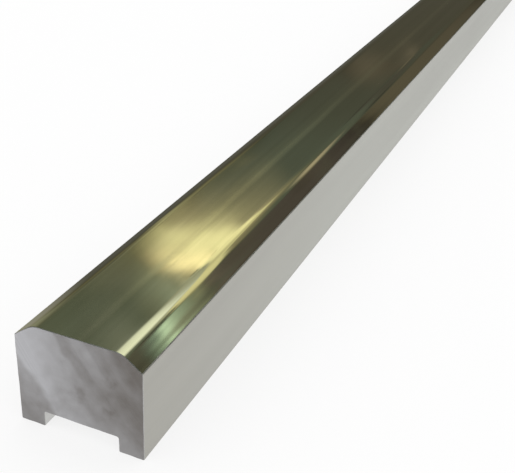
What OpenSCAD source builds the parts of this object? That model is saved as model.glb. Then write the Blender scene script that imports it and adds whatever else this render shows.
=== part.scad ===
// Aluminium extrusion profile: one solid bar with a flat top, two sloped shoulders
// with soft crests, straight sides, and two feet either side of a shallow channel.
// The bar lies along Y on its feet. The origin is at mid-length, between the feet,
// on the surface that the bar lies on. Millimetres.

/* [Section] */
// Width across the two sides
section_w = 25; // [18:0.5:40]
// Height from the feet to the flat top
section_h = 21; // [12:0.5:32]
// How far each shoulder runs in from its side
shoulder_run = 3.8; // [1.5:0.1:6]
// How far each shoulder drops from the flat top to its side
shoulder_drop = 2.85; // [1.5:0.05:6]

/* [Base channel] */
// Width of each foot
foot_w = 5; // [2:0.1:8]
// Depth of the channel between the feet
channel_depth = 3.2; // [1.5:0.1:10]

/* [Edges] */
// Radius of the soft crest between the flat top and a shoulder
crest_r = 3.6; // [0.5:0.1:6]
// Radius of the edge between a shoulder and its side
side_edge_r = 0.5; // [0.2:0.1:2]
// Radius of the long edges under the feet
foot_edge_r = 0.3; // [0.2:0.1:1.5]
// Radius of the fillets in the channel's two roots
channel_r = 0.4; // [0.2:0.1:2]

/* [Length] */
// Sawn length of the bar
bar_length = 500; // [100:10:3000]

/* [Hidden] */
$fn = 96;
half_w = section_w / 2;
side_h = section_h - shoulder_drop;
crest_x = half_w - shoulder_run;
channel_x = half_w - foot_w;
// The section's sharp corners on its right half, from the channel's root round to
// the crest, each with the radius that rounds it
right_half = [
    [channel_x, channel_depth, channel_r],
    [channel_x, 0, foot_edge_r],
    [half_w, 0, foot_edge_r],
    [half_w, side_h, side_edge_r],
    [crest_x, section_h, crest_r],
];
last = len(right_half) - 1;
left_half = [for (i = [last : -1 : 0]) [-right_half[i].x, right_half[i].y, right_half[i].z]];

function flat(corner) = [corner.x, corner.y];
function unit(v) = v / norm(v);

// Half of the angle at corner p between the edges that lead to a and b
function half_angle(p, a, b) = acos(unit(a - p) * unit(b - p)) / 2;

// Where an arc of radius r in corner p touches the edge that leads to a
function touch_point(p, a, b, r) = p + unit(a - p) * r / tan(half_angle(p, a, b));

// Centre of the arc of radius r that touches both edges of corner p
function arc_centre(p, a, b, r) =
    p + unit(unit(a - p) + unit(b - p)) * r / sin(half_angle(p, a, b));

// True where an outline that runs anticlockwise turns left, so that the corner stands out
function stands_out(p, a, b) = cross(p - a, b - p) > 0;

// The slice of a disc between the two points where its arc touches the edges of corner p
module arc_slice(p, a, b, r) {
    centre = arc_centre(p, a, b, r);
    intersection() {
        translate(centre) circle(r = r);
        polygon([p, touch_point(p, b, a, r), centre, touch_point(p, a, b, r)]);
    }
}

// An anticlockwise outline of [x, y, radius] corners, with a true arc in each corner.
// Every corner is cut straight across between its touch points. A slice of a disc then
// fills each corner that stands out, or hollows each corner that turns in.
module rounded_outline(corners) {
    count = len(corners);
    p = [for (c = corners) flat(c)];
    before = [for (i = [0 : count - 1]) p[(i + count - 1) % count]];
    after = [for (i = [0 : count - 1]) p[(i + 1) % count]];
    r = [for (c = corners) c.z];
    difference() {
        union() {
            polygon([
                for (i = [0 : count - 1])
                    each [
                        touch_point(p[i], before[i], after[i], r[i]),
                        touch_point(p[i], after[i], before[i], r[i]),
                    ]
            ]);
            for (i = [0 : count - 1])
                if (stands_out(p[i], before[i], after[i]))
                    arc_slice(p[i], before[i], after[i], r[i]);
        }
        for (i = [0 : count - 1])
            if (!stands_out(p[i], before[i], after[i]))
                arc_slice(p[i], before[i], after[i], r[i]);
    }
}

// The whole bar: its section drawn along the length
module profile_bar() {
    color([0.70, 0.70, 0.68])
        rotate([90, 0, 0])
            linear_extrude(height = bar_length, center = true)
                rounded_outline(concat(right_half, left_half));
}

profile_bar();
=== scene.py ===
"""Looks of the aluminium extrusion profile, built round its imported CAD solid.

The bar lies along Y on its two feet, and the sawn end that the photograph shows is at the low end of Y.
Lengths are in metres, as in the frame, and MM turns a size in millimetres into them. A name that ends in
_mm holds millimetres, which the finishes work in. The strip lights are placed by direction, in degrees.
"""

import logging
import math
from dataclasses import dataclass, field
from enum import Enum

import bpy
import numpy as np
from mathutils import Euler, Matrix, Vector
from mathutils.geometry import delaunay_2d_cdt


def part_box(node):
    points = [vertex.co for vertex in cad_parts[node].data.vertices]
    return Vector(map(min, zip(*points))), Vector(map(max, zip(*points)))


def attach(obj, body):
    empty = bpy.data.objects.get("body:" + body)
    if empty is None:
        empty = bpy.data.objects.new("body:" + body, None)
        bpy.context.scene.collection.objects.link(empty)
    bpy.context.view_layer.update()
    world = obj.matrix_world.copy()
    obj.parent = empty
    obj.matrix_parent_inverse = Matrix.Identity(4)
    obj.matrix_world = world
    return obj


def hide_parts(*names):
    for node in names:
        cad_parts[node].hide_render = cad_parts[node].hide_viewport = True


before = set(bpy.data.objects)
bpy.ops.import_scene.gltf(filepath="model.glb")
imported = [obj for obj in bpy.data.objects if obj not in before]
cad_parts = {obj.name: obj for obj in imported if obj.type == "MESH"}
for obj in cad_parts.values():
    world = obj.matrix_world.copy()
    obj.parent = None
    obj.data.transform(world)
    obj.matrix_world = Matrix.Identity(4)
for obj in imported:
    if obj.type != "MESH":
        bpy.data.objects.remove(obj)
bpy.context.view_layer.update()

Colour = tuple[float, float, float]
Span = tuple[float, float]
Stops = tuple[tuple[float, float], ...]
Socket = bpy.types.NodeSocket

MM = 0.001
NODE = "profile_bar"
PIECE = "profile_bar_dressed"
BODY = "root"
BAKE_MAP = "OFBake"
MAP_MARGIN = 0.01
RISING: Span = (0.0, 1.0)
FALLING: Span = (1.0, 0.0)
# Most values of a noise texture lie in this span.
NOISE_SPAN: Span = (0.3, 0.7)

log = logging.getLogger("profile")


class Zone(Enum):
    """Stretches of the bar's skin with a finish of their own. The value is the material slot."""

    CROWN = 0
    SIDE = 1
    BASE = 2
    SAWN = 3
    EDGE = 4


class BarEnd(Enum):
    """The bar's two sawn ends. The value is the way that the end faces along Y."""

    FRONT = -1
    BACK = 1


class Easing(Enum):
    """How a value runs from one known spot to the next. The value is Blender's name for it."""

    STRAIGHT = "LINEAR"
    SOFT = "SMOOTHSTEP"


class Blending(Enum):
    """How two colours become one. The value is Blender's name for it."""

    MIX = "MIX"
    MULTIPLY = "MULTIPLY"


class Tint(Enum):
    """Colours of the strip lights at full level."""

    GOLD = (1.0, 0.955, 0.62)
    EMBER = (1.0, 0.875, 0.57)
    HONEY = (1.0, 0.905, 0.64)
    AMBER = (1.0, 0.89, 0.72)
    BROWN = (1.0, 0.88, 0.7)
    RUSSET = (1.0, 0.85, 0.9)
    LEMON = (0.96, 1.0, 0.82)
    WARM = (1.0, 0.98, 0.88)
    COOL = (0.94, 1.0, 0.96)
    GREEN = (0.75, 1.0, 0.88)
    TEAL = (0.7, 1.0, 1.0)
    MOSS = (0.86, 1.0, 0.88)


def rgba(colour: Colour | float) -> tuple[float, float, float, float]:
    """Gives a colour or a grey level with full alpha, as sockets want it."""
    red, green, blue = colour if isinstance(colour, tuple) else (colour,) * 3
    return (red, green, blue, 1.0)


def direction(azimuth: float, elevation: float) -> Vector:
    """Gives the unit vector at an azimuth, from +Y towards +X, and an elevation, in degrees."""
    a, e = math.radians(azimuth), math.radians(elevation)
    return Vector((math.sin(a) * math.cos(e), math.cos(a) * math.cos(e), math.sin(e)))


def follow_knots(knots: np.ndarray, places: np.ndarray, easing: Easing) -> np.ndarray:
    """Runs from knot to knot, and from the last one back to the first.

    Args:
        knots: the values at the whole places.
        places: where to look them up, counted in knots.
        easing: how the value runs between two knots.

    Returns:
        One value a place.
    """
    left = np.floor(places).astype(int)
    share = places - left
    if easing is Easing.SOFT:
        share = (1 - np.cos(share * math.pi)) / 2
    return knots[left % len(knots)] * (1 - share) + knots[(left + 1) % len(knots)] * share


@dataclass(frozen=True)
class Corner:
    """One corner of the section, before it is rounded.

    Attributes:
        x: place across the bar.
        z: height above the floor.
        radius: radius of the arc that rounds it.
        arc_zone: finish of that arc.
        next_zone: finish of the straight stretch that follows it.
    """

    x: float
    z: float
    radius: float
    arc_zone: Zone
    next_zone: Zone


@dataclass
class Outline:
    """The closed outline of the section, clockwise as seen from the photographed end.

    Attributes:
        points: places (x, z), one row a point.
        normals: outward unit normals at the points.
        zones: finish of the stretch from each point to the next.
    """

    points: np.ndarray
    normals: np.ndarray
    zones: list[Zone]

    def lengths(self) -> np.ndarray:
        """Gives the length along the outline at each point, with the whole length as a last entry."""
        steps = np.linalg.norm(np.roll(self.points, -1, axis=0) - self.points, axis=1)
        return np.concatenate([[0.0], np.cumsum(steps)])

    def places(self, count: int) -> np.ndarray:
        """Gives each point's place along the outline, where the whole of it counts as that many steps."""
        along = self.lengths()
        return along[:-1] / along[-1] * count

    def moved_in(self, depths: np.ndarray) -> np.ndarray:
        """Gives the points moved into the metal by the given depths."""
        return self.points - self.normals * depths[:, None]


@dataclass
class SectionShape:
    """The extruded section: flat top, sloped shoulders, straight sides, two feet and a channel."""

    width: float
    height: float
    shoulder_run: float = 3.8 * MM
    shoulder_drop: float = 2.85 * MM
    foot_width: float = 5.0 * MM
    channel_depth: float = 3.2 * MM
    crest_radius: float = 3.6 * MM
    side_edge_radius: float = 0.5 * MM
    foot_edge_radius: float = 0.3 * MM
    channel_radius: float = 0.4 * MM
    flat_step: float = 0.25 * MM
    arc_step: float = math.radians(2.5)

    def corners(self) -> list[Corner]:
        """Lists the ten corners, clockwise from the channel's left root.

        Returns:
            The corners, with the finishes of their arcs and of the stretches after them.
        """
        half = self.width / 2
        channel = half - self.foot_width
        side_top = self.height - self.shoulder_drop
        crest = half - self.shoulder_run
        root, foot = self.channel_radius, self.foot_edge_radius
        return [
            Corner(-channel, self.channel_depth, root, Zone.BASE, Zone.BASE),
            Corner(-channel, 0, foot, Zone.BASE, Zone.BASE),
            Corner(-half, 0, foot, Zone.SIDE, Zone.SIDE),
            Corner(-half, side_top, self.side_edge_radius, Zone.SIDE, Zone.CROWN),
            Corner(-crest, self.height, self.crest_radius, Zone.CROWN, Zone.CROWN),
            Corner(crest, self.height, self.crest_radius, Zone.CROWN, Zone.CROWN),
            Corner(half, side_top, self.side_edge_radius, Zone.SIDE, Zone.SIDE),
            Corner(half, 0, foot, Zone.SIDE, Zone.BASE),
            Corner(channel, 0, foot, Zone.BASE, Zone.BASE),
            Corner(channel, self.channel_depth, root, Zone.BASE, Zone.BASE),
        ]

    def arc(self, before: Corner, here: Corner, after: Corner) -> tuple[np.ndarray, np.ndarray]:
        """Rounds one corner.

        Args:
            before: the corner that comes before it.
            here: the corner to round.
            after: the corner that comes after it.

        Returns:
            The arc's points from touch point to touch point, and their outward normals.
        """
        spot = np.array([here.x, here.z])
        back = np.array([before.x, before.z]) - spot
        on = np.array([after.x, after.z]) - spot
        back, on = back / np.linalg.norm(back), on / np.linalg.norm(on)
        half_angle = math.acos(float(np.clip(back @ on, -1, 1))) / 2
        inward = (back + on) / np.linalg.norm(back + on)
        centre = spot + inward * here.radius / math.sin(half_angle)
        reach = here.radius / math.tan(half_angle)
        first, last = spot + back * reach - centre, spot + on * reach - centre
        start = math.atan2(first[1], first[0])
        turn = math.remainder(math.atan2(last[1], last[0]) - start, math.tau)
        count = math.ceil(abs(turn) / self.arc_step)
        angles = start + turn * np.arange(count + 1) / count
        rays = np.stack([np.cos(angles), np.sin(angles)], axis=1)
        # A clockwise walk turns right at a corner of the metal and left in the channel's root.
        outward = rays if turn < 0 else -rays
        return centre + rays * here.radius, outward

    def outline(self) -> Outline:
        """Walks round the section, with arcs at the corners and even steps on the flats.

        Returns:
            The outline, starting in the middle of the channel's ceiling.
        """
        corners = self.corners()
        befores, afters = corners[-1:] + corners[:-1], corners[1:] + corners[:1]
        arcs = [self.arc(*three) for three in zip(befores, corners, afters)]
        points, normals, zones = [], [], []
        for corner, (spots, rays), (next_spots, _) in zip(corners, arcs, arcs[1:] + arcs[:1]):
            points.extend(spots)
            normals.extend(rays)
            zones.extend([corner.arc_zone] * (len(spots) - 1) + [corner.next_zone])
            start, end = spots[-1], next_spots[0]
            # An even count puts a point in the middle of the flat.
            count = 2 * round(np.linalg.norm(end - start) / self.flat_step / 2)
            for step in range(1, count):
                points.append(start + (end - start) * step / count)
                normals.append(rays[-1])
                zones.append(corner.next_zone)
        middle = int(np.argmin([abs(p[0]) + abs(p[1] - self.channel_depth) for p in points]))
        return Outline(
            np.roll(np.array(points), -middle, axis=0),
            np.roll(np.array(normals), -middle, axis=0),
            zones[middle:] + zones[:middle],
        )


@dataclass(frozen=True)
class DieLine:
    """A shallow groove that a worn spot of the die drew along the bar's crown.

    Attributes:
        across: its middle, as x.
        width: width of the groove.
        depth: depth in its middle.
    """

    across: float
    width: float
    depth: float


@dataclass
class DieWear:
    """The fine lengthwise lines that the die left all round the bar.

    Attributes:
        crown_normal: how far up a normal points where the crown's own lines lie.
        crown_lines: those lines.
    """

    seed: int = 11
    fine_depth: float = 0.0002 * MM
    broad_depth: float = 0.0008 * MM
    broad_length: float = 1.6 * MM
    crown_normal: float = 0.7
    crown_lines: tuple[DieLine, ...] = (
        DieLine(1.05 * MM, 0.5 * MM, 0.0012 * MM),
        DieLine(-3.4 * MM, 0.5 * MM, 0.0006 * MM),
        DieLine(5.6 * MM, 0.5 * MM, 0.0005 * MM),
        DieLine(10.3 * MM, 0.4 * MM, 0.0012 * MM),
        DieLine(11.95 * MM, 1.2 * MM, 0.009 * MM),
    )

    def depths(self, outline: Outline) -> np.ndarray:
        """Works out how deep each outline point lies under the true section.

        Args:
            outline: the true section.

        Returns:
            One depth a point, never below nothing, so the bar stays inside its box.
        """
        rng = np.random.default_rng(self.seed)
        knots = rng.random(round(outline.lengths()[-1] / self.broad_length))
        broad = follow_knots(knots, outline.places(len(knots)), Easing.SOFT)
        depths = self.broad_depth * broad + self.fine_depth * rng.random(len(broad))
        on_crown = outline.normals[:, 1] > self.crown_normal
        for line in self.crown_lines:
            offset = (outline.points[:, 0] - line.across) / (line.width / 2)
            depths += np.where(on_crown, line.depth * np.exp(-offset**2), 0)
        return depths


@dataclass(frozen=True)
class SawMarks:
    """Arcs that the blade left across a sawn end, all round one far centre.

    Attributes:
        centre_x: the blade's centre, across the bar.
        centre_z: the blade's centre, above the floor.
        ridge_count: ridges after which the heights come round again.
    """

    centre_x: float = 82.0 * MM
    centre_z: float = 70.0 * MM
    seed: int = 5
    ridge_count: int = 1024
    broad_pitch: float = 1.9 * MM
    broad_depth: float = 0.014 * MM
    fine_pitch: float = 0.62 * MM
    fine_depth: float = 0.006 * MM

    def depths(self, points: np.ndarray) -> np.ndarray:
        """Works out how far each spot of the end lies inside the bar's full length.

        Args:
            points: places (x, z) on the end.

        Returns:
            One depth a point, with the highest ridge at nothing.
        """
        rng = np.random.default_rng(self.seed)
        reach = np.hypot(points[:, 0] - self.centre_x, points[:, 1] - self.centre_z)
        depths = np.zeros(len(points))
        for pitch, depth in ((self.broad_pitch, self.broad_depth), (self.fine_pitch, self.fine_depth)):
            heights = rng.random(self.ridge_count)
            depths += depth * follow_knots(heights, reach / pitch, Easing.SOFT)
        return depths - depths.min()


@dataclass(frozen=True)
class Grain:
    """Noise that is stretched along the bar.

    Attributes:
        across: features per millimetre across the bar.
        along: features per millimetre along it.
        detail: how many finer layers are added.
    """

    across: float
    along: float
    detail: float = 2.0


class FinishGraph:
    """A material's node tree, with short ways to add what the finishes share."""

    def __init__(self, name: str) -> None:
        """Starts an empty material.

        Args:
            name: the material's name.
        """
        self.material = bpy.data.materials.new(name)
        self.material.use_nodes = True
        self.tree = self.material.node_tree
        self.tree.nodes.clear()

    def add(self, kind: str, inputs: dict[str | int, object] | None = None,
            **settings: object) -> bpy.types.Node:
        """Adds one node.

        Args:
            kind: Blender's name of the node's type.
            inputs: values or sockets by the input's name or number.
            settings: the node's own properties.

        Returns:
            The new node.
        """
        node = self.tree.nodes.new(kind)
        for name, value in settings.items():
            setattr(node, name, value)
        for key, value in (inputs or {}).items():
            if isinstance(value, Socket):
                self.tree.links.new(value, node.inputs[key])
            else:
                node.inputs[key].default_value = value
        return node

    def math(self, operation: str, *values: object) -> Socket:
        """Adds one step of arithmetic."""
        return self.add("ShaderNodeMath", dict(enumerate(values)), operation=operation).outputs[0]

    def vector(self, operation: str, *values: object) -> Socket:
        """Adds one step of vector arithmetic, and gives the vector or the length that it makes."""
        node = self.add("ShaderNodeVectorMath", dict(enumerate(values)), operation=operation)
        return node.outputs["Value" if operation == "DISTANCE" else "Vector"]

    def split(self, place: Socket) -> tuple[Socket, ...]:
        """Gives a place's x, y and z."""
        return tuple(self.add("ShaderNodeSeparateXYZ", {0: place}).outputs)

    def place(self) -> Socket:
        """Gives the place by the object's own axes."""
        return self.add("ShaderNodeTexCoord").outputs["Object"]

    def place_mm(self) -> Socket:
        """Gives the place on the bar in millimetres."""
        return self.vector("MULTIPLY", self.place(), (1 / MM,) * 3)

    def grain(self, grain: Grain) -> Socket:
        """Adds noise that is stretched along the bar.

        Args:
            grain: how fine the noise is.

        Returns:
            A value about 0.5, from 0 to 1.
        """
        place = self.vector("MULTIPLY", self.place_mm(), (grain.across, grain.along, grain.across))
        inputs = {"Vector": place, "Scale": 1.0, "Detail": grain.detail}
        return self.add("ShaderNodeTexNoise", inputs).outputs[0]

    def remap(self, value: Socket, source: Span, target: Span = RISING,
              easing: Easing = Easing.STRAIGHT) -> Socket:
        """Stretches a value from one range to another, and holds it there.

        Args:
            value: the value to stretch.
            source: its lowest and highest value.
            target: what they become.
            easing: how the value runs between them.

        Returns:
            The stretched value.
        """
        inputs = dict(enumerate((value, *source, *target)))
        return self.add("ShaderNodeMapRange", inputs, interpolation_type=easing.value).outputs[0]

    def sway(self, noise: Socket, reach: float) -> Socket:
        """Turns noise into a value that sways about 0 by that much."""
        return self.remap(noise, NOISE_SPAN, (-reach, reach))

    def blend(self, share: object, first: object, second: object, way: Blending = Blending.MIX) -> Socket:
        """Makes one colour of two."""
        inputs = {0: share, 6: first, 7: second}
        return self.add("ShaderNodeMix", inputs, data_type="RGBA", blend_type=way.value).outputs[2]

    def tone(self, noise: Socket, dark: Colour, light: Colour) -> Socket:
        """Gives the colour between a dark and a light one that noise picks."""
        return self.blend(self.remap(noise, NOISE_SPAN), rgba(dark), rgba(light))

    def ramp(self, value: Socket, stops: tuple[tuple[float, Colour | float], ...]) -> Socket:
        """Looks a value up on an eased ramp.

        Args:
            value: the value to look up.
            stops: pairs of a value and the level or colour there, in rising order.

        Returns:
            The level or the colour.
        """
        low, high = stops[0][0], stops[-1][0]
        node = self.add("ShaderNodeValToRGB", {0: self.remap(value, (low, high))})
        node.color_ramp.interpolation = "EASE"
        elements = node.color_ramp.elements
        # A new ramp holds a first and a last element, and the ones between are added.
        for at, _ in stops[1:-1]:
            elements.new((at - low) / (high - low))
        for element, (_, level) in zip(elements, stops):
            element.color = rgba(level)
        return node.outputs[0]

    def bump(self, height: Socket, depth: float, strength: float) -> Socket:
        """Turns a height into a bent normal."""
        inputs = {"Height": height, "Distance": depth, "Strength": strength}
        return self.add("ShaderNodeBump", inputs).outputs[0]

    def glow(self, colour: object, strength: object = 1.0) -> Socket:
        """Adds a surface that shines."""
        return self.add("ShaderNodeEmission", {"Color": colour, "Strength": strength}).outputs[0]

    def mix(self, share: Socket, first: Socket, second: Socket) -> Socket:
        """Mixes two surfaces."""
        return self.add("ShaderNodeMixShader", {0: share, 1: first, 2: second}).outputs[0]

    def close(self, surface: Socket) -> bpy.types.Material:
        """Links the last shader to the output and gives the material."""
        self.add("ShaderNodeOutputMaterial", {"Surface": surface})
        return self.material

    def metal(self, colour: Socket, roughness: Socket, **more: object) -> bpy.types.Material:
        """Ends the material as bare metal.

        Args:
            colour: the metal's colour.
            roughness: how dull it is.
            more: other inputs of the metal, by Blender's names.

        Returns:
            The material.
        """
        inputs = {"Base Color": colour, "Metallic": 1.0, "Roughness": roughness} | more
        return self.close(self.add("ShaderNodeBsdfPrincipled", inputs).outputs[0])


@dataclass(frozen=True)
class PolishedCrown:
    """Bright drawn finish of the top, crests and shoulders: a warm mirror with lengthwise lines, and a dull
    film along the top whose tone carries painted sheen.

    Attributes:
        film_across: x in millimetres and how much of the dull film lies there.
        film_sheen_along: y in millimetres and how much the film's tone is painted lighter or darker there,
            as painted sheen and shade.
    """

    dark: Colour = (0.53, 0.51, 0.325)
    light: Colour = (0.60, 0.575, 0.385)
    streaks: Grain = Grain(0.45, 0.004)
    roughness: float = 0.055
    lines: Grain = Grain(2.6, 0.012, 3.0)
    line_roughness: float = 0.02
    line_depth: float = 0.0012 * MM
    line_strength: float = 0.2
    smudges: Grain = Grain(0.14, 0.05, 4.0)
    smudge_span: Span = (0.5, 0.72)
    smudge_roughness: float = 0.04
    film_roughness: float = 0.05
    film_drift: Grain = Grain(0.05, 0.02)
    film_drift_mm: float = 0.25
    film_across: Stops = (
        (-3.0, 0.0), (-1.0, 0.25), (-0.5, 0.45), (0.4, 1.0), (1.0, 0.75), (2.0, 0.0),
    )
    # Painted sheen and shade: the film's tone is painted lighter or darker along the bar.
    film_sheen_along: Stops = (
        (-244.0, 0.88), (-236.0, 1.02), (-229.0, 1.14), (-222.0, 1.18), (-217.0, 1.03), (-204.0, 0.93),
        (-196.0, 0.92), (-186.0, 1.1), (-172.0, 1.42), (-150.0, 1.5), (-110.0, 1.32), (-30.0, 1.15),
    )
    anisotropy: float = 0.85

    def dull_film(self, graph: FinishGraph) -> tuple[Socket, Socket]:
        """Marks the dull film that runs along the top, a little right of its middle.

        Args:
            graph: the material that is being made.

        Returns:
            How much of the film lies at a spot, from 0 to 1, and the painted sheen: how much lighter or
            darker the metal's tone is painted there.
        """
        across, along, _ = graph.split(graph.place_mm())
        drift = graph.sway(graph.grain(self.film_drift), self.film_drift_mm)
        share = graph.ramp(graph.math("ADD", across, drift), self.film_across)
        # The painted sheen along the bar, where the film lies.
        sheen_change = graph.math("SUBTRACT", graph.ramp(along, self.film_sheen_along), 1.0)
        return share, graph.math("MULTIPLY_ADD", share, sheen_change, 1.0)

    def material(self) -> bpy.types.Material:
        """Builds the finish.

        Returns:
            The material.
        """
        graph = FinishGraph("polished_crown")
        lines = graph.grain(self.lines)
        smudges = graph.remap(graph.grain(self.smudges), self.smudge_span, easing=Easing.SOFT)
        film, painted_sheen = self.dull_film(graph)
        metal = graph.tone(graph.grain(self.streaks), self.dark, self.light)
        # The painted sheen scales the metal's tone.
        toned = graph.add("ShaderNodeVectorMath", {0: metal, "Scale": painted_sheen}, operation="SCALE").outputs[0]
        rough = graph.math("MULTIPLY_ADD", lines, self.line_roughness, self.roughness)
        rough = graph.math("MULTIPLY_ADD", smudges, self.smudge_roughness, rough)
        rough = graph.math("MULTIPLY_ADD", film, self.film_roughness, rough)
        tangent = graph.add("ShaderNodeTangent", direction_type="RADIAL", axis="Y").outputs[0]
        normal = graph.bump(lines, self.line_depth, self.line_strength)
        return graph.metal(toned, rough, Anisotropic=self.anisotropy, Tangent=tangent, Normal=normal)


@dataclass(frozen=True)
class SatinSide:
    """Satin finish of the two sides: neutral grey, with a fine grain, darker and a little pinker towards the
    front end.

    Attributes:
        front_tone: what the metal's tone is multiplied by at the front end.
        front_tone_mm: y between which that fades out.
    """

    dark: Colour = (0.48, 0.48, 0.442)
    light: Colour = (0.545, 0.55, 0.505)
    front_tone: Colour = (0.882, 0.862, 0.855)
    front_tone_mm: Span = (-250.0, -150.0)
    broad: Grain = Grain(0.12, 0.006)
    broad_share: float = 0.65
    fine: Grain = Grain(5.0, 0.02, 3.0)
    fine_span: Span = (0.25, 0.75)
    roughness: Span = (0.38, 0.5)
    grain_depth: float = 0.004 * MM
    grain_strength: float = 0.35

    def material(self) -> bpy.types.Material:
        """Builds the finish.

        Returns:
            The material.
        """
        graph = FinishGraph("satin_side")
        fine = graph.grain(self.fine)
        both = graph.blend(self.broad_share, fine, graph.grain(self.broad))
        metal = graph.tone(both, self.dark, self.light)
        _, along, _ = graph.split(graph.place_mm())
        # The sides are darker and a little pinker towards the front end.
        front_share = graph.remap(along, self.front_tone_mm, FALLING)
        colour = graph.blend(front_share, metal, rgba(self.front_tone), Blending.MULTIPLY)
        rough = graph.remap(fine, self.fine_span, self.roughness)
        return graph.metal(colour, rough, Normal=graph.bump(fine, self.grain_depth, self.grain_strength))


@dataclass(frozen=True)
class MillBase:
    """Plain mill finish of the feet and the channel, with coarser drawn lines."""

    dark: Colour = (0.55, 0.55, 0.535)
    light: Colour = (0.66, 0.66, 0.645)
    lines: Grain = Grain(2.2, 0.01, 4.0)
    roughness: Span = (0.28, 0.46)
    line_depth: float = 0.006 * MM
    line_strength: float = 0.4

    def material(self) -> bpy.types.Material:
        """Builds the finish.

        Returns:
            The material.
        """
        graph = FinishGraph("mill_base")
        lines = graph.grain(self.lines)
        colour = graph.tone(lines, self.dark, self.light)
        rough = graph.remap(lines, NOISE_SPAN, self.roughness)
        return graph.metal(colour, rough, Normal=graph.bump(lines, self.line_depth, self.line_strength))


@dataclass(frozen=True)
class SawnFace:
    """Sawn ends: pale metal with darker smears that follow the blade's arcs, painted shade that darkens the
    face in arcs towards its upper right, and painted light and shade that make its left part lighter towards
    the top and darker towards the foot.

    Attributes:
        shade_bands: distance from the blade's centre in millimetres and how light the face is painted there,
            as painted shade that darkens it towards the upper right.
        painted_rise_mm: heights between which the face is painted lighter, as painted light towards the top
            and painted shade towards the foot.
        rise: what that painted light and shade takes off or adds.
        painted_rise_side_mm: x between which that fades out to the right.
        smears: distance and level as for the shade bands, for the smears of the upper half.
        plain_smear: smear that leaves the metal as it is.
        smear_height_mm: heights between which those smears fade in.
        smudges_mm: place (x, z) and radius of each dark smudge.
    """

    marks: SawMarks
    tint_dark: Colour = (0.189, 0.174, 0.161)
    tint_light: Colour = (0.53, 0.53, 0.55)
    # Painted shade: these bands darken the face in arcs towards its upper right.
    shade_bands: Stops = (
        (88.0, 0.06), (93.0, 0.1), (96.5, 0.21), (100.0, 0.44), (104.0, 0.7), (108.5, 1.0),
        (110.1, 0.66), (115.0, 0.5),
    )
    drift: Grain = Grain(0.16, 0.16)
    drift_mm: float = 0.6
    # Painted light and shade: the left part of the face is painted lighter towards the top and darker
    # towards the foot.
    painted_rise_mm: Span = (4.0, 20.0)
    rise: Span = (-0.17, 0.12)
    painted_rise_side_mm: Span = (2.0, 9.0)
    smears: Stops = (
        (89.5, 0.5), (91.3, 0.7), (92.6, 0.62), (94.0, 0.66), (95.2, 0.78), (96.6, 0.72), (97.9, 0.46),
        (99.1, 0.4), (100.2, 0.64), (101.5, 0.62), (110.0, 0.62),
    )
    plain_smear: float = 0.5
    smear_height_mm: Span = (10.5, 16.0)
    blotch: Grain = Grain(0.4, 0.4, 3.0)
    blotch_gain: float = 0.07
    smudges_mm: tuple[tuple[float, float, float], ...] = (
        (-0.2, 9.4, 2.5), (5.2, 8.3, 1.5), (-5.2, 5.6, 4.6), (6.4, 14.4, 1.8),
    )
    smudge_level: float = 0.16
    smudge_drift_mm: float = 0.8
    scratches_per_mm: float = 3.0
    scratch_detail: float = 3.0
    scratch_gain: float = 0.05
    scratch_depth: float = 0.006 * MM
    scratch_strength: float = 0.45
    roughness: Span = (0.42, 0.58)

    def smeared(self, graph: FinishGraph, away: Socket) -> Socket:
        """Works out how light the face is painted: the blade's smears, painted shade towards the upper
        right, and painted light and shade by height.

        Args:
            graph: the material that is being made.
            away: distance from the blade's centre, in millimetres.

        Returns:
            The level, where 0 is the dark tint and 1 the light one.
        """
        side, _, height = graph.split(graph.place_mm())
        reach = graph.math("ADD", away, graph.sway(graph.grain(self.drift), self.drift_mm))
        upper = graph.remap(height, self.smear_height_mm, easing=Easing.SOFT)
        smear = graph.math("SUBTRACT", graph.ramp(reach, self.smears), self.plain_smear)
        # The bands paint shade that darkens the face towards its upper right.
        level = graph.math("MULTIPLY_ADD", smear, upper, graph.ramp(reach, self.shade_bands))
        # Painted light and shade by height, fading out to the right.
        fade = graph.remap(side, self.painted_rise_side_mm, FALLING, Easing.SOFT)
        return graph.math("MULTIPLY_ADD", graph.remap(height, self.painted_rise_mm, self.rise), fade, level)

    def material(self) -> bpy.types.Material:
        """Builds the finish.

        Returns:
            The material.
        """
        graph = FinishGraph("sawn_face")
        flat = graph.vector("MULTIPLY", graph.place_mm(), (1.0, 0.0, 1.0))
        away = graph.vector("DISTANCE", flat, (self.marks.centre_x / MM, 0.0, self.marks.centre_z / MM))
        inputs = {"W": graph.math("MULTIPLY", away, self.scratches_per_mm), "Scale": 1.0,
                  "Detail": self.scratch_detail}
        scratches = graph.add("ShaderNodeTexNoise", inputs, noise_dimensions="1D").outputs[0]
        blotch = graph.grain(self.blotch)
        level = self.smeared(graph, away)
        level = graph.math("ADD", level, graph.sway(scratches, self.scratch_gain))
        level = graph.math("ADD", level, graph.sway(blotch, self.blotch_gain))
        for x, z, radius in self.smudges_mm:
            gap = graph.vector("DISTANCE", flat, (x, 0.0, z))
            gap = graph.math("ADD", gap, graph.sway(blotch, self.smudge_drift_mm))
            smudge = graph.remap(gap, (0.0, radius), (self.smudge_level, 0.0), Easing.SOFT)
            level = graph.math("SUBTRACT", level, smudge)
        colour = graph.blend(level, rgba(self.tint_dark), rgba(self.tint_light))
        rough = graph.remap(scratches, NOISE_SPAN, self.roughness)
        normal = graph.bump(scratches, self.scratch_depth, self.scratch_strength)
        return graph.metal(colour, rough, Normal=normal)


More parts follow.
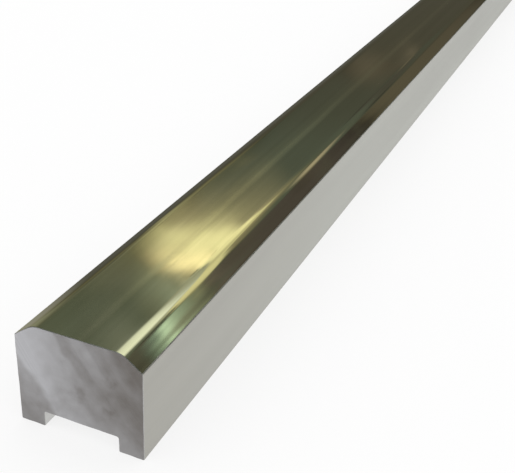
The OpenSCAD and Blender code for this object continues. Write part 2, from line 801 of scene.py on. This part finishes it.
@dataclass(frozen=True)
class BrokenEdge:
    """The filed edge round a sawn end: bright bare metal with short cross scratches."""

    dark: Colour = (0.40, 0.40, 0.39)
    light: Colour = (0.51, 0.51, 0.50)
    scratches: Grain = Grain(3.0, 3.0, 3.0)
    roughness: Span = (0.3, 0.45)

    def material(self) -> bpy.types.Material:
        """Builds the finish.

        Returns:
            The material.
        """
        graph = FinishGraph("broken_edge")
        scratches = graph.grain(self.scratches)
        colour = graph.tone(scratches, self.dark, self.light)
        return graph.metal(colour, graph.remap(scratches, NOISE_SPAN, self.roughness))


@dataclass
class MeshParts:
    """Vertices and faces that are gathered before they become one mesh."""

    spots: list[np.ndarray] = field(default_factory=list)
    faces: list[list[int]] = field(default_factory=list)
    zones: list[Zone] = field(default_factory=list)
    maps: list[list[Span]] = field(default_factory=list)
    count: int = 0
    sharp_angle: float = math.radians(30)

    def add_spots(self, section: np.ndarray, along: np.ndarray) -> range:
        """Adds vertices.

        Args:
            section: their places (x, z).
            along: their places along the bar.

        Returns:
            Their numbers.
        """
        self.spots.append(np.stack([section[:, 0], along, section[:, 1]], axis=1))
        self.count += len(section)
        return range(self.count - len(section), self.count)

    def add_face(self, corners: list[int], zone: Zone, places: list[Span]) -> None:
        """Adds one face.

        Args:
            corners: numbers of its vertices.
            zone: its finish.
            places: where its corners lie on the bake map.
        """
        self.faces.append(corners)
        self.zones.append(zone)
        self.maps.append(places)

    def mesh(self, name: str) -> bpy.types.Mesh:
        """Makes one mesh of what was gathered.

        Args:
            name: the mesh's name.

        Returns:
            The mesh, with each face's slot number and its bake map.
        """
        made = bpy.data.meshes.new(name)
        made.from_pydata(np.concatenate(self.spots).tolist(), [], self.faces)
        made.polygons.foreach_set("material_index", [zone.value for zone in self.zones])
        places = made.uv_layers.new(name=BAKE_MAP)
        places.uv.foreach_set("vector", [n for face in self.maps for place in face for n in place])
        made.shade_smooth()
        made.set_sharp_from_angle(angle=self.sharp_angle)
        made.validate()
        made.update()
        return made


@dataclass
class SawnEnd:
    """One sawn end: the edge that was filed round it, and the face inside that.

    Attributes:
        end: which of the two ends it is.
        marks: what the blade left on it.
        edge_seed: number that the random widths of the filed edge start from.
        map_middle: where its middle lies across the bake map.
        map_scale: share of the bake map that a metre takes.
        fill_tolerance_mm: distance below which the fill takes two points as one.
    """

    end: BarEnd
    marks: SawMarks
    edge_seed: int
    map_middle: float
    map_scale: float = 0.29 / (21.0 * MM)
    edge_width: Span = (0.05 * MM, 0.14 * MM)
    edge_knots: int = 60
    grid_step: float = 0.22 * MM
    grid_margin: float = 0.12 * MM
    fill_tolerance_mm: float = 1e-6

    def edge_widths(self, outline: Outline) -> np.ndarray:
        """Draws the uneven width of the filed edge.

        Args:
            outline: the section's outline.

        Returns:
            One width a point.
        """
        rng = np.random.default_rng(self.edge_seed)
        knots = rng.uniform(*self.edge_width, self.edge_knots)
        return follow_knots(knots, outline.places(self.edge_knots), Easing.STRAIGHT)

    def grid(self, rim: np.ndarray) -> np.ndarray:
        """Lays an even grid of points inside the rim, clear of it by the margin.

        Args:
            rim: the face's outline.

        Returns:
            The points (x, z).
        """
        low, high = rim.min(axis=0), rim.max(axis=0)
        rows = np.arange(low[1], high[1], self.grid_step * math.sqrt(3) / 2)
        columns = np.arange(low[0], high[0], self.grid_step)
        grid = np.array([(x + self.grid_step / 2 * (i % 2), z) for i, z in enumerate(rows) for x in columns])
        inside = np.zeros(len(grid), bool)
        gap = np.full(len(grid), np.inf)
        for a, b in zip(rim, np.roll(rim, -1, axis=0)):
            crosses = (a[1] > grid[:, 1]) != (b[1] > grid[:, 1])
            if a[1] != b[1]:
                at = a[0] + (grid[:, 1] - a[1]) * (b[0] - a[0]) / (b[1] - a[1])
                inside ^= crosses & (grid[:, 0] < at)
            share = np.clip(((grid - a) @ (b - a)) / ((b - a) @ (b - a)), 0, 1)
            gap = np.minimum(gap, np.linalg.norm(grid - a - share[:, None] * (b - a), axis=1))
        return grid[inside & (gap > self.grid_margin)]

    def fill(self, rim: np.ndarray) -> tuple[np.ndarray, list[list[int]]]:
        """Fills the face with small triangles.

        Args:
            rim: the face's outline, clockwise.

        Returns:
            The rim's points followed by the inner ones, and the triangles.

        Raises:
            ValueError: if the fill merges points or adds some.
        """
        spots = np.concatenate([rim, self.grid(rim)])
        # The fill works in millimetres, where its closeness test suits these sizes.
        flat = [Vector(p / MM) for p in spots]
        loop = [(i, (i + 1) % len(rim)) for i in range(len(rim))]
        filled = delaunay_2d_cdt(flat, loop, [], 1, self.fill_tolerance_mm)
        if len(filled[0]) != len(spots):
            raise ValueError("the fill of a sawn end merged or added points")
        order = [old[0] for old in filled[3]]
        return spots, [[order[i] for i in face] for face in filled[2]]

    def map_place(self, spot: np.ndarray) -> Span:
        """Gives a spot's place on the bake map, where the ends lie under the skin, side by side."""
        return (self.map_middle + spot[0] * self.map_scale, MAP_MARGIN + spot[1] * self.map_scale)

    def add(self, parts: MeshParts, outline: Outline, skin: np.ndarray, ring: range, reach: float) -> None:
        """Adds the face and the filed edge round it.

        Args:
            parts: the mesh so far.
            outline: the true section.
            skin: the skin's points (x, z).
            ring: numbers of the skin's last ring.
            reach: distance of the end from the bar's middle.
        """
        front = self.end is BarEnd.FRONT
        rim = skin - outline.normals * self.edge_widths(outline)[:, None]
        spots, triangles = self.fill(rim)
        numbers = parts.add_spots(spots, self.end.value * (reach - self.marks.depths(spots)))
        for face in triangles:
            a, b, c = (spots[i] for i in face)
            clockwise = (b[0] - a[0]) * (c[1] - a[1]) - (b[1] - a[1]) * (c[0] - a[0]) < 0
            # Seen from the photographed end, an outward face runs anticlockwise there.
            order = face if clockwise != front else face[::-1]
            places = [self.map_place(spots[i]) for i in order]
            parts.add_face([numbers[i] for i in order], Zone.SAWN, places)
        for i in range(len(rim)):
            j = (i + 1) % len(rim)
            corners = [numbers[i], numbers[j], ring[j], ring[i]]
            places = [self.map_place(p) for p in (rim[i], rim[j], skin[j], skin[i])]
            if not front:
                corners, places = corners[::-1], places[::-1]
            parts.add_face(corners, Zone.EDGE, places)


@dataclass
class ProfileBar:
    """The whole bar as one closed mesh: drawn skin, filed edges and two sawn ends.

    Attributes:
        skin_map_low: height on the bake map from which on the skin lies there.
    """

    section: SectionShape
    length: float
    wear: DieWear
    front: SawnEnd
    back: SawnEnd
    ring_step: float = 12.5 * MM
    skin_map_low: float = 0.32

    def add_skin(self, parts: MeshParts, outline: Outline, skin: np.ndarray) -> list[range]:
        """Adds the drawn skin, up to the filed edges.

        Args:
            parts: the mesh so far.
            outline: the true section.
            skin: the skin's points (x, z).

        Returns:
            The vertex numbers of each ring, from the front to the back.
        """
        half = self.length / 2
        count = round(self.length / self.ring_step)
        ys = [np.full(len(skin), -half + self.length * k / count) for k in range(count + 1)]
        ys[0] += self.front.edge_widths(outline)
        ys[-1] -= self.back.edge_widths(outline)
        rings = [parts.add_spots(skin, y) for y in ys]
        across = MAP_MARGIN + (1 - 2 * MAP_MARGIN) * outline.lengths() / outline.lengths()[-1]
        rise = (1 - MAP_MARGIN - self.skin_map_low) / self.length
        for k in range(count):
            for i, zone in enumerate(outline.zones):
                j = (i + 1) % len(skin)
                # Each corner: its ring, its point, and its place along the outline.
                quad = ((k, i, i), (k, j, i + 1), (k + 1, j, i + 1), (k + 1, i, i))
                places = [(across[u], self.skin_map_low + rise * (ys[r][n] + half)) for r, n, u in quad]
                parts.add_face([rings[r][n] for r, n, _ in quad], zone, places)
        return rings

    def mesh(self) -> bpy.types.Mesh:
        """Builds the closed mesh with its bake map.

        Returns:
            The mesh, in the frame's own place.
        """
        outline = self.section.outline()
        skin = outline.moved_in(self.wear.depths(outline))
        parts = MeshParts()
        rings = self.add_skin(parts, outline, skin)
        self.front.add(parts, outline, skin, rings[0], self.length / 2)
        self.back.add(parts, outline, skin, rings[-1], self.length / 2)
        return parts.mesh(PIECE)

    def build(self, finishes: dict[Zone, bpy.types.Material]) -> bpy.types.Object:
        """Makes the piece, dresses it and puts it in the CAD node's place.

        Args:
            finishes: the material of each zone.

        Returns:
            The piece.
        """
        piece = bpy.data.objects.new(PIECE, self.mesh())
        for zone in Zone:
            piece.data.materials.append(finishes[zone])
        bpy.context.scene.collection.objects.link(piece)
        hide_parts(NODE)
        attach(piece, BODY)
        return piece


@dataclass(frozen=True)
class StripLight:
    """A soft strip light that only polished metal mirrors, far enough off to keep its direction.

    Attributes:
        name: name of the strip.
        tint: its colour at full level.
        points: its middle line: azimuth from +Y towards +X, elevation and the strip's height, all in
            degrees, and how bright it is, where 1 is white.
        soft_low: share of its height over which the lower edge fades.
        soft_high: share of its height over which the upper edge fades.
        cover_level: level from which on it hides what hangs behind it.
        steps: steps from one point to the next.
    """

    name: str
    tint: Tint
    points: tuple[tuple[float, float, float, float], ...]
    soft_low: float
    soft_high: float
    cover_level: float = 0.5
    steps: int = 12

    def line(self) -> np.ndarray:
        """Runs a smooth line through the points.

        Returns:
            The points with even steps between them, one row each.
        """
        rows = np.array(self.points)
        rows = np.concatenate([2 * rows[:1] - rows[1:2], rows, 2 * rows[-1:] - rows[-2:-1]])
        line = []
        for a, b, c, d in zip(rows, rows[1:], rows[2:], rows[3:]):
            for t in np.arange(self.steps) / self.steps:
                spot = b + (c - a) / 2 * t + (a - 2.5 * b + 2 * c - d / 2) * t**2
                line.append(spot + (1.5 * (b - c) + (d - a) / 2) * t**3)
        return np.array(line + [self.points[-1]])

    def material(self) -> bpy.types.Material:
        """Builds a light that fades to nothing at its lower and upper edge.

        Returns:
            The material.
        """
        graph = FinishGraph(self.name)
        _, up, _ = graph.split(graph.add("ShaderNodeTexCoord").outputs["UV"])
        low = graph.remap(up, (0.0, self.soft_low), easing=Easing.SOFT)
        high = graph.remap(up, (1.0, 1.0 - self.soft_high), easing=Easing.SOFT)
        level = graph.add("ShaderNodeAttribute", attribute_name="level").outputs["Fac"]
        # The dark tent shows through the strip where the strip is dim.
        cover = graph.math("MULTIPLY", low, high)
        cover = graph.math("MULTIPLY", cover, graph.remap(level, (0.0, self.cover_level)))
        clear = graph.add("ShaderNodeBsdfTransparent").outputs[0]
        return graph.close(graph.mix(cover, clear, graph.glow(rgba(self.tint.value), level)))


# The strips from the nearest to the farthest.
STRIPS = (
    StripLight("brow_strip", Tint.EMBER, soft_low=0.5, soft_high=0.14, cover_level=0.5, points=(
        (-31.0, 29.5, 1.0, 0.0), (-30.0, 29.65, 1.3, 0.6), (-29.2, 29.68, 1.35, 1.35),
        (-28.3, 29.7, 1.36, 2.2), (-27.2, 29.78, 1.34, 2.1), (-26.3, 29.68, 1.3, 2.0),
        (-25.5, 29.55, 1.25, 1.75), (-24.5, 29.6, 1.2, 0.0),
    )),
    StripLight("arch_strip", Tint.GOLD, soft_low=0.25, soft_high=0.09, cover_level=0.5, points=(
        (-33.4, 28.4, 1.8, 0.0), (-31.4, 28.15, 2.5, 0.25), (-30.0, 28.5, 3.8, 0.53),
        (-28.9, 28.8, 3.3, 0.94), (-27.6, 28.85, 3.1, 1.34), (-26.6, 28.75, 3.1, 1.44),
        (-25.6, 29.1, 4.1, 1.46), (-23.9, 29.6, 5.6, 1.5), (-20.8, 31.1, 6.4, 1.28),
        (-12.3, 34.2, 5.9, 1.32), (-3.8, 35.4, 7.4, 0.86), (5.8, 38.0, 3.6, 1.02),
        (16.0, 36.9, 7.0, 1.06), (23.6, 33.2, 5.6, 0.92), (26.6, 32.8, 5.0, 0.54),
        (27.6, 32.0, 3.0, 0.36), (28.6, 31.6, 2.2, 0.0),
    )),
    StripLight("rim_strip", Tint.LEMON, soft_low=0.2, soft_high=0.75, cover_level=0.5, points=(
        (-28.8, 31.0, 1.6, 0.0), (-27.6, 31.5, 1.5, 0.52), (-26.2, 32.15, 1.9, 0.56),
        (-24.4, 33.2, 2.8, 0.62), (-22.5, 34.2, 2.8, 0.6), (-20.5, 35.2, 2.4, 0.5),
        (-18.0, 36.2, 2.0, 0.0),
    )),
    StripLight("glint_strip", Tint.GREEN, soft_low=0.6, soft_high=0.4, cover_level=0.5, points=(
        (26.4, 31.2, 3.4, 0.0), (27.6, 31.3, 3.4, 0.4), (28.6, 31.8, 3.2, 0.58),
        (29.6, 32.4, 2.6, 1.0), (30.5, 32.6, 2.2, 1.7), (31.2, 32.55, 2.0, 1.3),
        (31.8, 32.75, 2.0, 0.85), (32.6, 33.15, 1.8, 0.35), (33.4, 33.6, 1.5, 0.0),
    )),
    StripLight("hollow_strip", Tint.LEMON, soft_low=0.5, soft_high=0.4, cover_level=0.15, points=(
        (27.0, 30.0, 2.6, 0.0), (27.8, 30.4, 3.0, 0.2), (28.6, 30.8, 3.2, 0.27),
        (29.4, 31.1, 3.4, 0.33), (30.4, 31.5, 3.4, 0.35), (31.4, 31.8, 3.0, 0.3),
        (32.4, 32.3, 2.4, 0.0),
    )),
    StripLight("low_strip", Tint.AMBER, soft_low=0.45, soft_high=0.45, cover_level=0.15, points=(
        (0.5, 29.8, 3.4, 0.0), (4.2, 28.7, 5.8, 0.45), (10.8, 27.6, 6.6, 0.58),
        (16.6, 25.2, 4.6, 0.27), (21.0, 24.0, 3.0, 0.0),
    )),
    StripLight("far_strip", Tint.BROWN, soft_low=0.4, soft_high=0.4, cover_level=0.1, points=(
        (-18.5, 16.4, 1.6, 0.0), (-15.7, 16.9, 2.6, 0.14), (-13.6, 16.5, 1.9, 0.11),
        (-12.7, 16.0, 1.9, 0.17), (-11.6, 16.6, 2.2, 0.15), (-10.5, 17.8, 2.6, 0.18),
        (-8.5, 19.0, 2.4, 0.18), (-6.5, 19.8, 2.4, 0.15), (-3.5, 20.5, 1.6, 0.0),
    )),
    StripLight("ceiling_strip", Tint.COOL, soft_low=0.55, soft_high=0.1, cover_level=0.5, points=(
        (-36.5, 36.2, 12.0, 0.0), (-34.4, 36.7, 11.6, 0.17), (-26.4, 39.6, 9.0, 1.0),
        (-15.3, 42.2, 10.5, 1.25), (-3.3, 43.7, 11.0, 1.38), (7.9, 42.9, 11.4, 1.42),
        (14.0, 43.2, 9.6, 0.95), (18.5, 42.8, 7.5, 0.45), (22.0, 42.3, 6.0, 0.0),
    )),
    StripLight("moss_strip", Tint.MOSS, soft_low=0.5, soft_high=0.6, cover_level=0.5, points=(
        (-36.0, 32.2, 4.0, 0.0), (-33.0, 31.7, 3.8, 0.11), (-29.2, 31.7, 4.6, 0.42),
        (-26.5, 33.4, 6.0, 0.46), (-24.6, 34.6, 7.0, 0.0),
    )),
    StripLight("teal_strip", Tint.TEAL, soft_low=0.5, soft_high=0.5, cover_level=0.2, points=(
        (28.5, 32.6, 3.0, 0.0), (30.5, 33.0, 3.4, 0.24), (32.0, 33.3, 2.6, 0.3),
        (33.4, 33.6, 2.0, 0.0),
    )),
    StripLight("veil_strip", Tint.LEMON, soft_low=0.5, soft_high=0.6, cover_level=0.5, points=(
        (-27.4, 32.9, 5.6, 0.0), (-24.4, 35.2, 7.6, 0.52), (-12.3, 38.2, 6.0, 0.55),
        (-0.3, 39.6, 5.0, 0.54), (10.0, 39.7, 5.0, 0.58), (18.0, 40.0, 6.0, 0.66),
        (24.0, 38.0, 4.5, 0.2), (27.0, 36.0, 3.0, 0.0),
    )),
    StripLight("glow_strip", Tint.HONEY, soft_low=0.95, soft_high=0.05, cover_level=0.2, points=(
        (-31.5, 25.5, 5.0, 0.0), (-28.5, 25.9, 5.2, 0.35), (-24.3, 26.3, 5.8, 0.48),
        (-21.5, 26.2, 8.0, 0.52), (-18.5, 27.6, 6.2, 0.48), (-10.4, 30.5, 5.0, 0.45),
        (-3.0, 31.0, 6.0, 0.42), (5.0, 32.8, 7.5, 0.4), (13.0, 32.5, 6.0, 0.34),
        (20.0, 29.4, 5.8, 0.3), (26.0, 28.5, 4.0, 0.0),
    )),
    StripLight("crest_strip", Tint.GOLD, soft_low=0.55, soft_high=0.42, cover_level=0.2, points=(
        (-27.0, 26.3, 5.0, 0.0), (-28.4, 26.2, 6.0, 0.5), (-29.7, 26.7, 6.8, 0.74),
        (-31.0, 25.6, 7.0, 0.69), (-33.0, 22.9, 7.2, 0.57), (-35.0, 19.7, 7.6, 0.44),
        (-37.0, 16.2, 8.0, 0.32), (-39.0, 12.0, 8.0, 0.0),
    )),
    StripLight("tail_strip", Tint.GOLD, soft_low=0.35, soft_high=0.5, cover_level=0.2, points=(
        (-26.5, 30.0, 16.0, 0.1), (-29.5, 26.5, 20.0, 0.3), (-32.0, 23.5, 17.0, 0.36),
        (-34.4, 20.5, 17.0, 0.44), (-37.0, 15.0, 20.0, 0.37), (-39.2, 8.0, 20.0, 0.26),
        (-41.5, 0.0, 14.0, 0.0),
    )),
    StripLight("corner_strip", Tint.LEMON, soft_low=0.5, soft_high=0.3, cover_level=0.2, points=(
        (-31.0, 29.8, 5.0, 0.0), (-31.8, 29.4, 6.0, 0.16), (-34.0, 27.8, 9.4, 0.21),
        (-37.0, 26.0, 14.0, 0.2), (-40.5, 27.0, 19.0, 0.18), (-43.1, 25.0, 20.0, 0.25),
        (-46.5, 16.7, 22.0, 0.31), (-49.5, 6.0, 22.0, 0.36), (-53.0, 2.0, 20.0, 0.3),
    )),
    StripLight("verge_strip", Tint.GOLD, soft_low=0.6, soft_high=0.3, cover_level=0.05, points=(
        (-22.0, 19.8, 4.0, 0.0), (-25.0, 20.3, 8.6, 0.18), (-28.0, 19.5, 12.0, 0.2),
        (-32.0, 15.0, 15.0, 0.19), (-36.0, 11.0, 20.0, 0.18), (-40.0, 11.5, 22.0, 0.18),
        (-44.0, 11.5, 22.0, 0.16), (-48.0, 10.0, 20.0, 0.15), (-51.0, 10.0, 18.0, 0.0),
    )),
    StripLight("russet_strip", Tint.RUSSET, soft_low=0.3, soft_high=0.3, cover_level=0.05, points=(
        (29.0, 31.0, 2.5, 0.0), (27.2, 30.0, 3.6, 0.15), (25.8, 28.7, 4.4, 0.13),
        (23.5, 26.2, 5.4, 0.105), (19.5, 22.8, 5.5, 0.1), (17.0, 20.4, 4.0, 0.06),
        (16.0, 19.4, 3.0, 0.0),
    )),
    StripLight("dusk_strip", Tint.BROWN, soft_low=0.3, soft_high=0.3, cover_level=0.05, points=(
        (17.5, 20.6, 3.0, 0.0), (15.4, 18.5, 4.0, 0.14), (12.3, 15.2, 4.0, 0.13),
        (10.0, 12.6, 3.0, 0.1), (8.0, 10.5, 2.5, 0.0),
    )),
    StripLight("dim_strip", Tint.WARM, soft_low=0.3, soft_high=0.3, cover_level=0.05, points=(
        (26.5, 37.2, 3.0, 0.0), (29.5, 36.0, 3.6, 0.12), (33.0, 34.4, 3.4, 0.125),
        (36.0, 33.2, 3.0, 0.0),
    )),
    StripLight("shade_strip", Tint.WARM, soft_low=0.4, soft_high=0.4, cover_level=0.05, points=(
        (-15.0, 21.0, 3.0, 0.0), (-11.0, 21.6, 5.0, 0.09), (0.0, 22.0, 6.0, 0.09),
        (8.0, 21.6, 5.0, 0.09), (13.0, 20.5, 3.0, 0.0),
    )),
    StripLight("back_strip", Tint.WARM, soft_low=0.5, soft_high=0.3, cover_level=0.5, points=(
        (62.0, 16.0, 8.0, 0.0), (76.0, 16.0, 9.0, 0.25), (86.0, 15.5, 9.0, 1.0),
        (95.0, 15.5, 9.0, 0.9), (106.0, 15.0, 7.0, 0.2), (124.0, 14.0, 5.0, 0.5),
        (135.0, 15.0, 6.0, 1.1), (152.0, 17.0, 4.5, 0.4), (170.0, 16.5, 4.0, 0.8),
        (182.0, 15.5, 4.0, 1.1), (200.0, 16.0, 4.0, 0.5), (222.0, 15.0, 6.0, 1.1),
        (240.0, 14.5, 6.0, 0.3), (258.0, 15.5, 8.0, 0.5), (268.0, 16.0, 9.0, 1.0),
        (280.0, 16.0, 9.0, 0.25), (292.0, 16.0, 8.0, 0.0),
    )),
)


@dataclass
class Studio:
    """Pale floor, even white surround, a dark tent for the mirror faces, and the strips they mirror.

    Attributes:
        aim: the spot that the strips hang round.
        bar_low: lowest corner of the bar's box.
        bar_high: highest corner of the bar's box.
        floor_white: share of plain white in what the floor shows.
        strip_gap: how much farther off each strip hangs than the one before it.
        strip_roll: degrees by which the strips are turned about Y.
        tent_top: elevation of the tent's upper edge.
        tent_rise: elevation and the tent's colour there.
        flag_gap: distance of the dark card from the bar's left side.
        flag_drop: height of the card, from the bar's top down.
        flag_levels: how bright the card is near the sawn end and away from it.
        flag_fade: distances from the sawn end between which that changes.
    """

    aim: Vector
    bar_low: Vector
    bar_high: Vector
    floor_size: float = 120.0
    floor_colour: Colour = (0.98, 0.98, 0.98)
    floor_white: float = 0.78
    strip_distance: float = 30.0
    strip_gap: float = 0.5
    strip_roll: float = 0.75
    tent_radius: float = 40.0
    tent_top: float = 50.0
    tent_columns: int = 96
    tent_rows: int = 16
    tent_rise: tuple[tuple[float, Colour], ...] = (
        (0.0, (0.09, 0.085, 0.07)), (16.0, (0.092, 0.088, 0.072)), (19.5, (0.094, 0.1, 0.085)),
        (23.0, (0.112, 0.13, 0.115)), (27.0, (0.122, 0.142, 0.124)), (31.0, (0.128, 0.15, 0.126)),
        (35.0, (0.15, 0.175, 0.152)), (50.0, (0.22, 0.24, 0.21)),
    )
    flag_gap: float = 1.0 * MM
    flag_drop: float = 3.55 * MM
    flag_colour: Colour = (1.0, 0.98, 0.8)
    flag_levels: Span = (0.33, 0.1)
    flag_fade: Span = (2.0 * MM, 25.0 * MM)
    strips: tuple[StripLight, ...] = STRIPS

    def put(self, name: str, spots: list, faces: list, material: bpy.types.Material) -> bpy.types.Object:
        """Makes one plain object of the stage.

        Args:
            name: the object's name.
            spots: its vertices.
            faces: numbers of each face's vertices.
            material: what it is made of.

        Returns:
            The object.
        """
        mesh = bpy.data.meshes.new(name)
        mesh.from_pydata(spots, [], faces)
        mesh.materials.append(material)
        thing = bpy.data.objects.new(name, mesh)
        bpy.context.scene.collection.objects.link(thing)
        return thing

    def mirror_only(self, thing: bpy.types.Object) -> bpy.types.Object:
        """Hides a thing from all but glossy rays.

        Args:
            thing: the thing to hide.

        Returns:
            The same thing.
        """
        thing.visible_camera = False
        thing.visible_diffuse = False
        thing.visible_shadow = False
        thing.visible_transmission = False
        thing.visible_volume_scatter = False
        return thing

    def show_rays(self, graph: FinishGraph) -> Socket:
        """Tells rays that show a surface, by sight, by mirror or through glass, from those that light it.

        Args:
            graph: the material that is being made.

        Returns:
            1 for rays that show the surface, and 0 for others.
        """
        rays = graph.add("ShaderNodeLightPath").outputs
        seen = graph.math("MAXIMUM", rays["Is Camera Ray"], rays["Is Glossy Ray"])
        return graph.math("MAXIMUM", seen, rays["Is Transmission Ray"])

    def floor(self) -> bpy.types.Object:
        """Lays the pale floor, which shows white and keeps the bar's soft shadow.

        Returns:
            The floor.
        """
        graph = FinishGraph("pale_floor")
        share = graph.math("MULTIPLY", self.show_rays(graph), self.floor_white)
        matt = graph.add("ShaderNodeBsdfDiffuse", {"Color": rgba(self.floor_colour)}).outputs[0]
        surface = graph.close(graph.mix(share, matt, graph.glow(rgba(1.0))))
        half = self.floor_size / 2
        spots = [(-half, -half, 0.0), (half, -half, 0.0), (half, half, 0.0), (-half, half, 0.0)]
        return self.put("floor", spots, [(0, 1, 2, 3)], surface)

    def tent(self) -> bpy.types.Object:
        """Sets up the dark tent, open at its top, that the mirror faces show.

        Returns:
            The tent.
        """
        graph = FinishGraph("dark_tent")
        _, _, height = graph.split(graph.place())
        sine = graph.math("DIVIDE", height, self.tent_radius)
        stops = tuple((math.sin(math.radians(e)), colour) for e, colour in self.tent_rise)
        surface = graph.close(graph.glow(graph.ramp(sine, stops)))
        around, rows = self.tent_columns, self.tent_rows
        spots = []
        for r in range(rows + 1):
            for a in range(around):
                spots.append(direction(360 * a / around, self.tent_top * r / rows) * self.tent_radius)
        faces = []
        for r in range(rows):
            for a in range(around):
                low, next_low = r * around + a, r * around + (a + 1) % around
                faces.append((low, next_low, next_low + around, low + around))
        tent = self.put("tent", spots, faces, surface)
        tent.location = (self.aim.x, self.aim.y, 0.0)
        return self.mirror_only(tent)

    def flag(self) -> bpy.types.Object:
        """Sets a low dark card beside the left upper edge, which darkens the shoulder seen edge-on.

        Returns:
            The card.
        """
        graph = FinishGraph("dark_flag")
        _, along, _ = graph.split(graph.place())
        low, high = self.bar_low, self.bar_high
        fade = (low.y + self.flag_fade[0], low.y + self.flag_fade[1])
        level = graph.remap(along, fade, self.flag_levels, Easing.SOFT)
        surface = graph.close(graph.glow(rgba(self.flag_colour), level))
        x, top, foot = low.x - self.flag_gap, high.z, high.z - self.flag_drop
        spots = [(x, low.y, foot), (x, high.y, foot), (x, high.y, top), (x, low.y, top)]
        return self.mirror_only(self.put("flag", spots, [(0, 1, 2, 3)], surface))

    def strip(self, light: StripLight, distance: float) -> bpy.types.Object:
        """Hangs one strip light round the aim point.

        Args:
            light: the strip.
            distance: how far off it hangs.

        Returns:
            The strip's object.
        """
        line = light.line()
        spots = []
        for azimuth, elevation, height, _ in line:
            spots.append(direction(azimuth, elevation - height / 2) * distance)
            spots.append(direction(azimuth, elevation + height / 2) * distance)
        faces = [(2 * i, 2 * i + 2, 2 * i + 3, 2 * i + 1) for i in range(len(line) - 1)]
        thing = self.put(light.name, spots, faces, light.material())
        places = thing.data.uv_layers.new(name="strip")
        for loop in thing.data.loops:
            along, up = divmod(loop.vertex_index, 2)
            places.uv[loop.index].vector = (along / (len(line) - 1), up)
        levels = thing.data.attributes.new("level", "FLOAT", "POINT")
        levels.data.foreach_set("value", [max(level, 0.0) for level in line[:, 3] for _ in range(2)])
        thing.location = self.aim
        thing.rotation_euler.y = math.radians(self.strip_roll)
        return self.mirror_only(thing)

    def world(self) -> None:
        """Fills the surround with even white light."""
        world = bpy.data.worlds.new("white_surround")
        world.use_nodes = True
        background = world.node_tree.nodes["Background"]
        background.inputs["Color"].default_value = rgba(1.0)
        background.inputs["Strength"].default_value = 1.0
        bpy.context.scene.world = world

    def build(self) -> list[bpy.types.Object]:
        """Sets up everything round the bar.

        Returns:
            The objects of the stage.
        """
        self.world()
        things = [self.floor(), self.tent(), self.flag()]
        for i, light in enumerate(self.strips):
            things.append(self.strip(light, self.strip_distance + i * self.strip_gap))
        return things


@dataclass
class PhotoCamera:
    """The photograph's viewpoint, in the frame."""

    location: tuple[float, float, float] = (0.070928, -0.349592, 0.106155)
    turn_degrees: tuple[float, float, float] = (61.5788, -2.7413, 23.3698)
    lens_mm: float = 62.132
    sensor_width_mm: float = 36.0
    clip_start: float = 10.0 * MM

    def build(self) -> bpy.types.Object:
        """Makes the camera and gives it to the scene.

        Returns:
            The camera.
        """
        data = bpy.data.cameras.new("photo_camera")
        data.sensor_fit = "HORIZONTAL"
        data.sensor_width = self.sensor_width_mm
        data.lens = self.lens_mm
        data.clip_start = self.clip_start
        camera = bpy.data.objects.new("photo_camera", data)
        camera.location = self.location
        camera.rotation_euler = Euler([math.radians(t) for t in self.turn_degrees])
        bpy.context.scene.collection.objects.link(camera)
        bpy.context.scene.camera = camera
        return camera


def main() -> None:
    """Builds the bar, its studio and the camera, and reports each."""
    logging.basicConfig(level=logging.INFO, format="%(message)s")
    low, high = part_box(NODE)
    section = SectionShape(width=high[0] - low[0], height=high[2] - low[2])
    front = SawnEnd(BarEnd.FRONT, SawMarks(), edge_seed=3, map_middle=0.25)
    back = SawnEnd(BarEnd.BACK, SawMarks(seed=6), edge_seed=4, map_middle=0.75)
    piece = ProfileBar(section, high[1] - low[1], DieWear(), front, back).build({
        Zone.CROWN: PolishedCrown().material(),
        Zone.SIDE: SatinSide().material(),
        Zone.BASE: MillBase().material(),
        Zone.SAWN: SawnFace(front.marks).material(),
        Zone.EDGE: BrokenEdge().material(),
    })
    log.info("%s: %d faces", piece.name, len(piece.data.polygons))
    near_end = Vector((0.0, low[1], high[2]))
    for thing in Studio(near_end, Vector(low), Vector(high)).build():
        log.info("%s: stage", thing.name)
    log.info("%s: camera", PhotoCamera().build().name)
    bpy.context.scene.view_settings.view_transform = "Standard"


if __name__ == "__main__":
    main()
